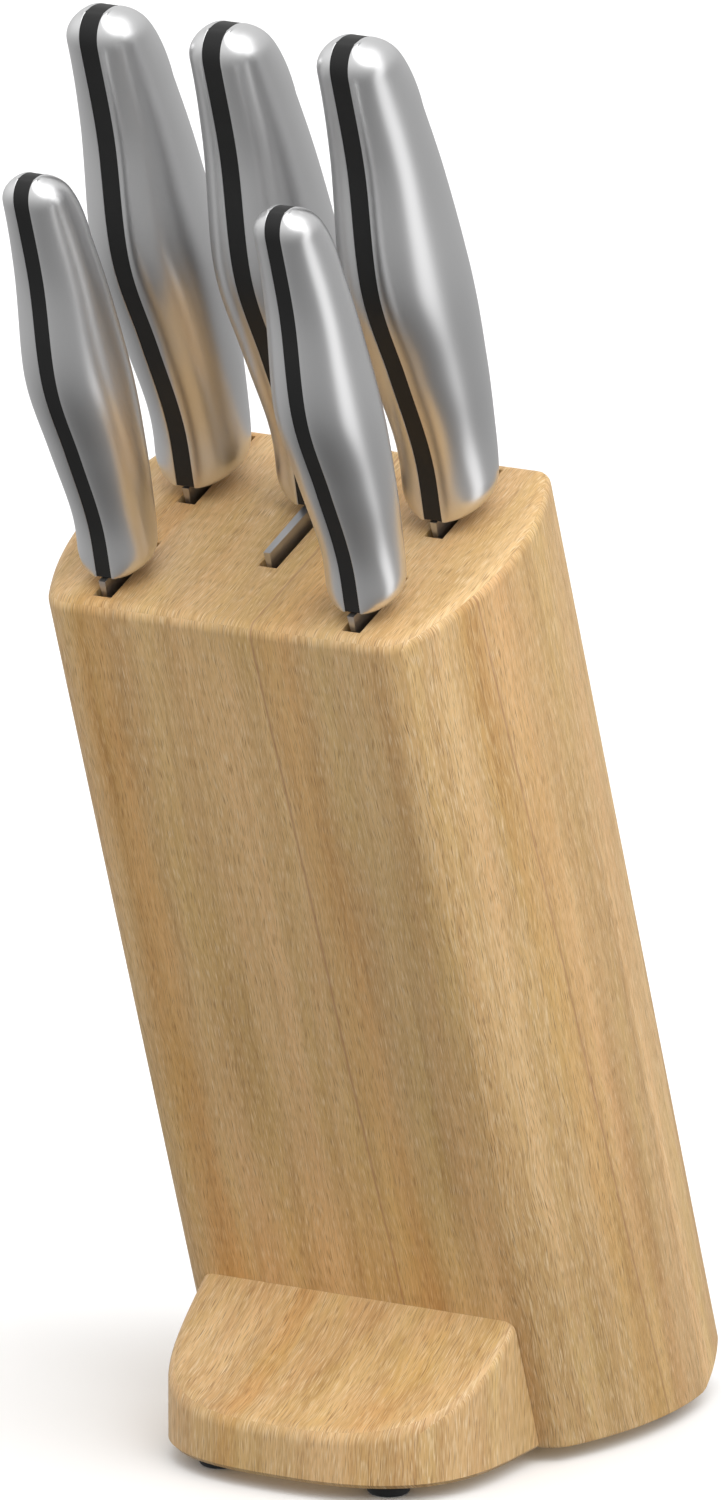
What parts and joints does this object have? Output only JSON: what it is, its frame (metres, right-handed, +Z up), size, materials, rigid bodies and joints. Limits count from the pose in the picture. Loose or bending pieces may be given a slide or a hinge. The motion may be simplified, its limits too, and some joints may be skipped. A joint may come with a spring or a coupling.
{
  "type": "knife block",
  "caption": "Wooden knife block leaning forward on a sloped front foot, holding kitchen knives with rounded steel handles that slide out of upright slots.",
  "frame": {"origin": "centre of the bounding box in X and Y, on the surface that the rubber feet stand on", "axes": "+Z up, -Y towards the front foot and the side the block leans to, +X to the right seen from the front"},
  "size_m": [0.108, 0.1834, 0.3448],
  "materials": {
    "board_wood": "satin oiled light hardwood",
    "strip_wood": "satin oiled light hardwood",
    "foot_wood": "satin oiled light hardwood",
    "dowel_wood": "raw beech",
    "pad_rubber": "matte black rubber",
    "screw_steel": "zinc plated",
    "blade_steel": "satin ground",
    "handle_steel": "satin stainless",
    "core_plastic": "matte black"
  },
  "bodies": {
    "block": {"board_outer_left": "board_wood", "board_inner_left": "board_wood", "board_inner_right": "board_wood", "board_outer_right": "board_wood", "strip_front_left": "strip_wood", "strip_middle_left": "strip_wood", "strip_rear_left": "strip_wood", "strip_front_centre": "strip_wood", "strip_rear_centre": "strip_wood", "strip_front_right": "strip_wood", "strip_middle_right": "strip_wood", "strip_rear_right": "strip_wood", "front_foot": "foot_wood", "dowel_left": "dowel_wood", "dowel_right": "dowel_wood", "rubber_foot_front_left": "pad_rubber", "rubber_foot_front_right": "pad_rubber", "rubber_foot_rear_left": "pad_rubber", "rubber_foot_rear_right": "pad_rubber", "foot_screw_front_left": "screw_steel", "foot_screw_front_right": "screw_steel", "foot_screw_rear_left": "screw_steel", "foot_screw_rear_right": "screw_steel"},
    "bread_knife": {"bread_knife_blade": "blade_steel", "bread_knife_core": "core_plastic", "bread_knife_left_shell": "handle_steel", "bread_knife_right_shell": "handle_steel"},
    "chefs_knife": {"chefs_knife_blade": "blade_steel", "chefs_knife_core": "core_plastic", "chefs_knife_left_shell": "handle_steel", "chefs_knife_right_shell": "handle_steel"},
    "carving_knife": {"carving_knife_blade": "blade_steel", "carving_knife_core": "core_plastic", "carving_knife_left_shell": "handle_steel", "carving_knife_right_shell": "handle_steel"},
    "utility_knife": {"utility_knife_blade": "blade_steel", "utility_knife_core": "core_plastic", "utility_knife_left_shell": "handle_steel", "utility_knife_right_shell": "handle_steel"},
    "paring_knife": {"paring_knife_blade": "blade_steel", "paring_knife_core": "core_plastic", "paring_knife_left_shell": "handle_steel", "paring_knife_right_shell": "handle_steel"}
  },
  "joints": [
    {"name": "bread_knife_slide", "type": "slide", "parent": "block", "child": "bread_knife", "axis": [0, -0.342, 0.9397], "range_m": [0, 0.21]},
    {"name": "chefs_knife_slide", "type": "slide", "parent": "block", "child": "chefs_knife", "axis": [0, -0.342, 0.9397], "range_m": [0, 0.21]},
    {"name": "carving_knife_slide", "type": "slide", "parent": "block", "child": "carving_knife", "axis": [0, -0.342, 0.9397], "range_m": [0, 0.21]},
    {"name": "utility_knife_slide", "type": "slide", "parent": "block", "child": "utility_knife", "axis": [0, -0.342, 0.9397], "range_m": [0, 0.135]},
    {"name": "paring_knife_slide", "type": "slide", "parent": "block", "child": "paring_knife", "axis": [0, -0.342, 0.9397], "range_m": [0, 0.1]}
  ]
}
